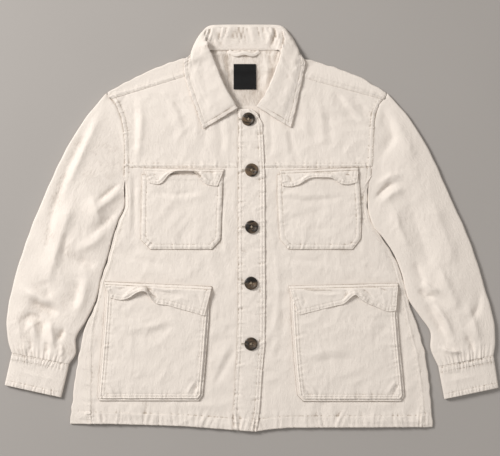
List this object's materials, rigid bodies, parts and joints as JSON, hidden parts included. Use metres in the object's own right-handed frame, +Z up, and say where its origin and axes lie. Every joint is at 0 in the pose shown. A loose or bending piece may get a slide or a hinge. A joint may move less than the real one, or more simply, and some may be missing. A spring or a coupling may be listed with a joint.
{
  "type": "denim jacket",
  "caption": "Ecru denim chore jacket laid flat on its back and buttoned, with a turned-down collar, flapped patch pockets on chest and hips, and long cuffed sleeves",
  "frame": {"origin": "the middle of the jacket's outline, on the surface that it lies on", "axes": "+X to the viewer's right across both sleeves, +Y from the hem to the collar, +Z up out of the front"},
  "size_m": [0.914, 0.7521, 0.0179],
  "materials": {
    "denim": "ecru cotton twill, matte, with cream stitching",
    "label": "black woven label, bare",
    "horn": "dark brown horn-effect resin, polished",
    "thread": "cream cotton thread"
  },
  "bodies": {
    "root": {"back_body": "denim", "back_yoke": "denim", "front_chest_left": "denim", "front_chest_right": "denim", "front_body_left": "denim", "front_body_right": "denim", "placket": "denim", "button_band": "denim", "sleeve_left": "denim", "sleeve_right": "denim", "cuff_left": "denim", "cuff_right": "denim", "collar": "denim", "chest_pocket_left": "denim", "chest_pocket_right": "denim", "chest_flap_left": "denim", "chest_flap_right": "denim", "lower_pocket_left": "denim", "lower_pocket_right": "denim", "lower_flap_left": "denim", "lower_flap_right": "denim", "hanger_loop": "denim", "neck_label": "label", "button_1": "horn", "button_2": "horn", "button_3": "horn", "button_4": "horn", "button_5": "horn"}
  },
  "joints": []
}
